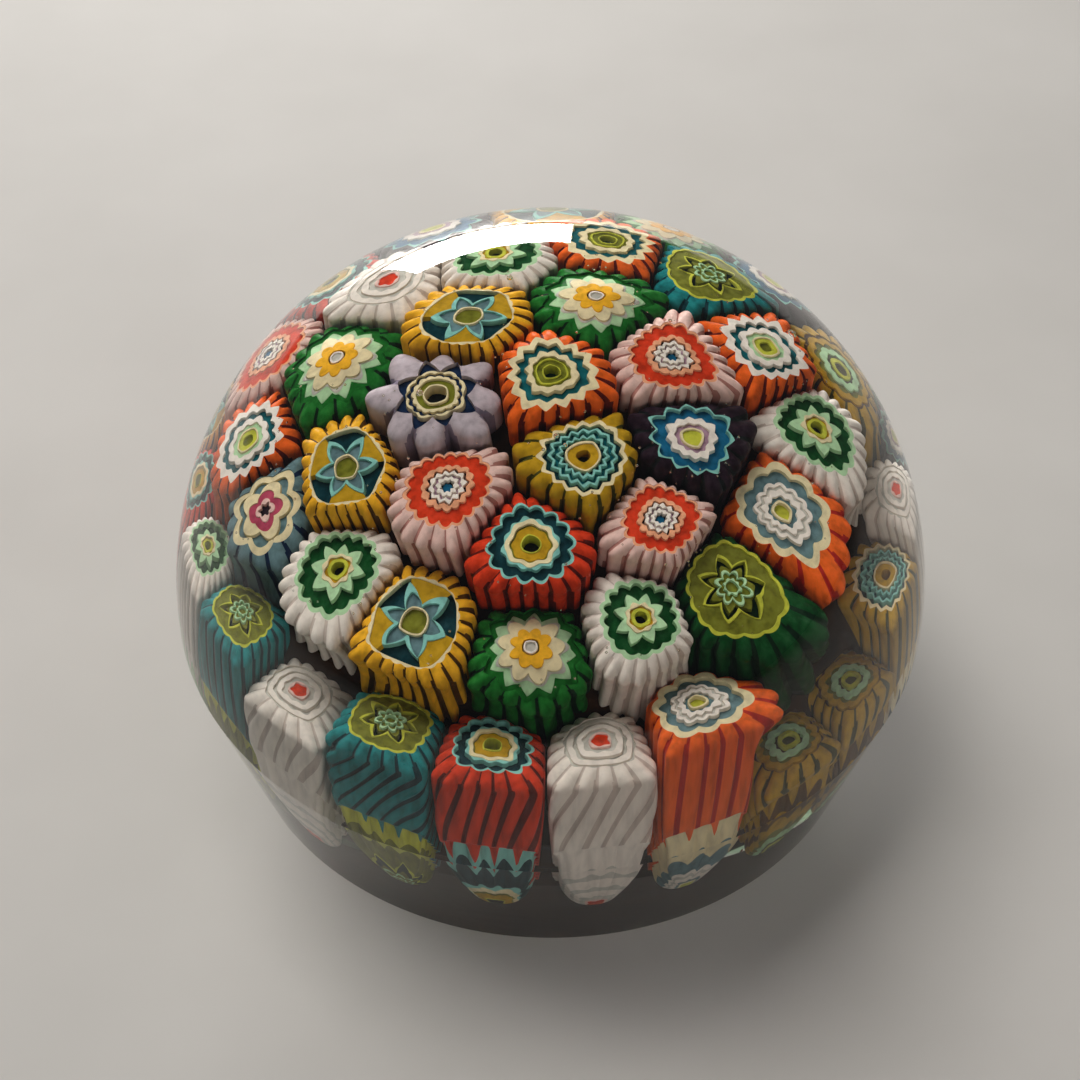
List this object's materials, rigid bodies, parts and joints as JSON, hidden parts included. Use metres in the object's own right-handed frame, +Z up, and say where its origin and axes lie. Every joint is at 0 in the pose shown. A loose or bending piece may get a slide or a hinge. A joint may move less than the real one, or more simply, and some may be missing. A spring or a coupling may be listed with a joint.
{
  "type": "paperweight",
  "caption": "Domed clear glass paperweight with a close-packed carpet of patterned millefiori canes and a flat polished foot.",
  "frame": {"origin": "centre of the flat foot, on the surface the weight stands on", "axes": "+Z up through the top of the dome; -Y towards the side the picture was taken from; +X to its right"},
  "size_m": [0.07, 0.07, 0.0505],
  "materials": {
    "clear_crystal": "clear fire-polished glass, flat ground and polished foot",
    "dark_ground": "near-black brown glass",
    "red_cog": "opaque red ribbed jacket; layers inside of cream, teal cog, cream star, yellow ring, dark core",
    "orange_cog": "opaque orange ribbed jacket; layers inside of cream, teal cog, white star, yellow ring, dark teal core",
    "orange_bloom": "opaque orange ribbed jacket; white and teal cog, grey-white ring, olive core",
    "coral_flower": "opaque orange-red ribbed jacket; cream scallop, grey-teal flower, white star, olive core",
    "green_star": "dark green ribbed jacket; bright green and cream star, yellow flower, grey-green core",
    "pink_cog": "pinkish white finger ribs; red-orange scalloped ring, peach and mauve star, blue core",
    "mint_star": "white ribbed jacket; dark green scallop, mint star, yellow-green ring, dark core",
    "six_star": "golden yellow ribbed jacket; six yellow and teal cells round a pale six-point star",
    "olive_star": "teal ribbed jacket; olive-yellow field, dark star and pale green flower",
    "forest_star": "dark green ribbed jacket; olive-yellow field, dark star and pale green flower",
    "white_dot": "white ribbed jacket; translucent grey-white rings round a red core",
    "lilac_star": "pale lilac eight-point star; navy star, cream and olive rings, navy core",
    "zigzag": "yellow-olive ribbed jacket; two aqua zigzag lines in teal, cream, yellow ring, dark core",
    "blue_cog": "black-violet jacket; blue cog, pale star, pink-grey ring, yellow core",
    "rose_lobe": "blue-grey jacket; cream lobes round a rose-pink curl",
    "olive_ring": "olive and yellow rings in an olive jacket; grey-green core"
  },
  "bodies": {
    "root": {"crystal_dome": "clear_crystal", "base_gather": "clear_crystal", "dark_ground": "dark_ground", "crown_cane_1_orange_cog": "orange_cog", "crown_cane_2_six_star": "six_star", "crown_cane_3_green_star": "green_star", "crown_cane_4_lilac_star": "lilac_star", "crown_cane_5_pink_cog": "pink_cog", "crown_cane_6_mint_star": "mint_star", "crown_cane_7_orange_cog": "orange_cog", "crown_cane_8_zigzag": "zigzag", "crown_cane_9_blue_cog": "blue_cog", "crown_cane_10_pink_cog": "pink_cog", "crown_cane_11_white_dot": "white_dot", "crown_cane_12_olive_star": "olive_star", "crown_cane_13_green_star": "green_star", "crown_cane_14_orange_bloom": "orange_bloom", "crown_cane_15_six_star": "six_star", "crown_cane_16_pink_cog": "pink_cog", "crown_cane_17_red_cog": "red_cog", "crown_cane_18_green_star": "green_star", "crown_cane_19_six_star": "six_star", "crown_cane_20_blue_cog": "blue_cog", "crown_cane_21_mint_star": "mint_star", "crown_cane_22_coral_flower": "coral_flower", "crown_cane_23_red_cog": "red_cog", "crown_cane_24_blue_cog": "blue_cog", "crown_cane_25_mint_star": "mint_star", "crown_cane_26_orange_bloom": "orange_bloom", "crown_cane_27_six_star": "six_star", "crown_cane_28_rose_lobe": "rose_lobe", "crown_cane_29_pink_cog": "pink_cog", "crown_cane_30_forest_star": "forest_star", "crown_cane_31_olive_ring": "olive_ring", "crown_cane_32_mint_star": "mint_star", "crown_cane_33_green_star": "green_star", "skirt_cane_1_white_dot": "white_dot", "skirt_cane_2_coral_flower": "coral_flower", "skirt_cane_3_olive_ring": "olive_ring", "skirt_cane_4_olive_ring": "olive_ring", "skirt_cane_5_zigzag": "zigzag", "skirt_cane_6_white_dot": "white_dot", "skirt_cane_7_blue_cog": "blue_cog", "skirt_cane_8_green_star": "green_star", "skirt_cane_9_zigzag": "zigzag", "skirt_cane_10_white_dot": "white_dot", "skirt_cane_11_red_cog": "red_cog", "skirt_cane_12_mint_star": "mint_star", "skirt_cane_13_pink_cog": "pink_cog", "skirt_cane_14_orange_cog": "orange_cog", "skirt_cane_15_blue_cog": "blue_cog", "skirt_cane_16_six_star": "six_star", "skirt_cane_17_red_cog": "red_cog", "skirt_cane_18_mint_star": "mint_star", "skirt_cane_19_olive_star": "olive_star", "skirt_cane_20_white_dot": "white_dot", "skirt_cane_21_olive_star": "olive_star", "skirt_cane_22_red_cog": "red_cog"}
  },
  "joints": []
}
